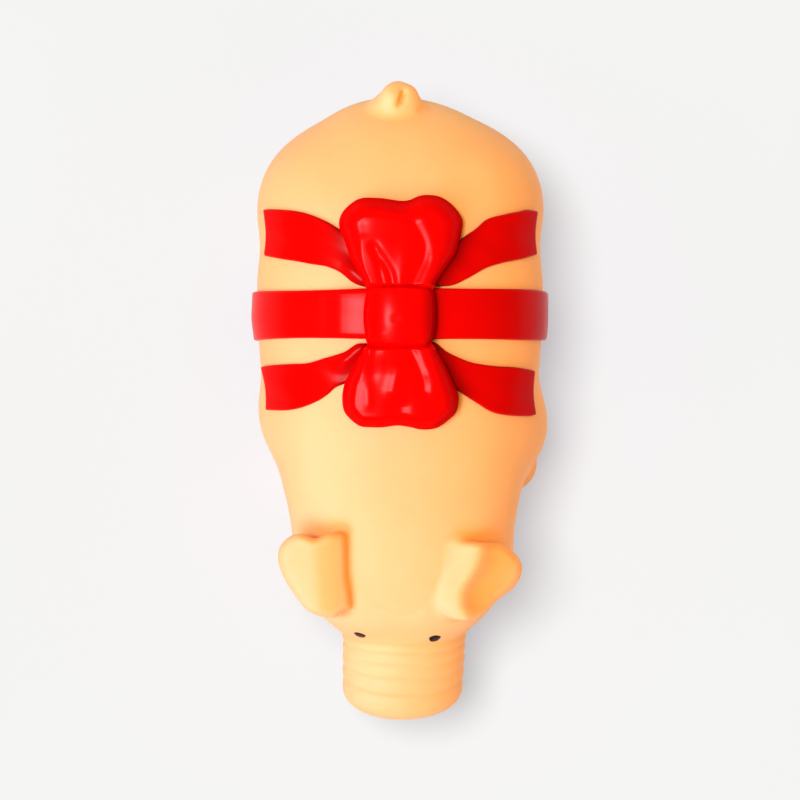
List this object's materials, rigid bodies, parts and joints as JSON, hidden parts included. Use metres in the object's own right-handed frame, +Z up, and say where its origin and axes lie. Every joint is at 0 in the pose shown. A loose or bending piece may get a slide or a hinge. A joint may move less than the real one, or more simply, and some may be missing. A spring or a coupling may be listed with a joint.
{
  "type": "latex grunting pig dog toy",
  "caption": "Hollow latex pig chew toy with a raised red ribbon and bow over its back, ringed snout, stub legs, fibre filling and a grunter plug in the belly.",
  "frame": {"origin": "centre of the toy's footprint box, on the surface that it stands on", "axes": "+Z up, +Y toward the tail (longest extent), -Y toward the snout, +X toward the pig's own left side"},
  "size_m": [0.1036, 0.2206, 0.0979],
  "materials": {
    "latex_skin": "satin soft latex, peach",
    "red_paint": "glossy red latex paint",
    "eye_paint": "semi-gloss dark brown paint",
    "fibre": "loose polyester fibre",
    "white_plastic": "moulded white plastic",
    "ivory_plastic": "moulded ivory plastic",
    "reed_film": "thin stiff amber film"
  },
  "bodies": {
    "belly": {"body_skin": "latex_skin", "ribbon_band": "red_paint", "ribbon_tail_rear_right": "red_paint", "ribbon_tail_rear_left": "red_paint", "ribbon_tail_front_right": "red_paint", "ribbon_tail_front_left": "red_paint", "eye_left": "eye_paint", "eye_right": "eye_paint", "fibre_filling": "fibre", "grunter_housing": "white_plastic", "grunter_grille": "white_plastic", "grunter_reed_seat": "ivory_plastic", "grunter_reed_clamp": "ivory_plastic"},
    "back": {"bow_knot": "red_paint", "bow_loop_rear": "red_paint", "bow_loop_front": "red_paint"},
    "reed": {"grunter_reed": "reed_film"}
  },
  "joints": [
    {"name": "squeeze", "type": "slide", "parent": "belly", "child": "back", "axis": [0, 0, -1], "range_m": [0, 0.016], "stiffness_N_per_m": 900, "deforming": ["body_skin", "fibre_filling", "ribbon_band", "ribbon_tail_rear_right", "ribbon_tail_rear_left", "ribbon_tail_front_right", "ribbon_tail_front_left"]},
    {"name": "reed_flutter", "type": "hinge", "parent": "belly", "child": "reed", "pos_m": [0, -0.00021, 0.0191], "axis": [1, 0, 0], "range_deg": [-3, 3], "stiffness_Nm_per_rad": 0.004}
  ]
}
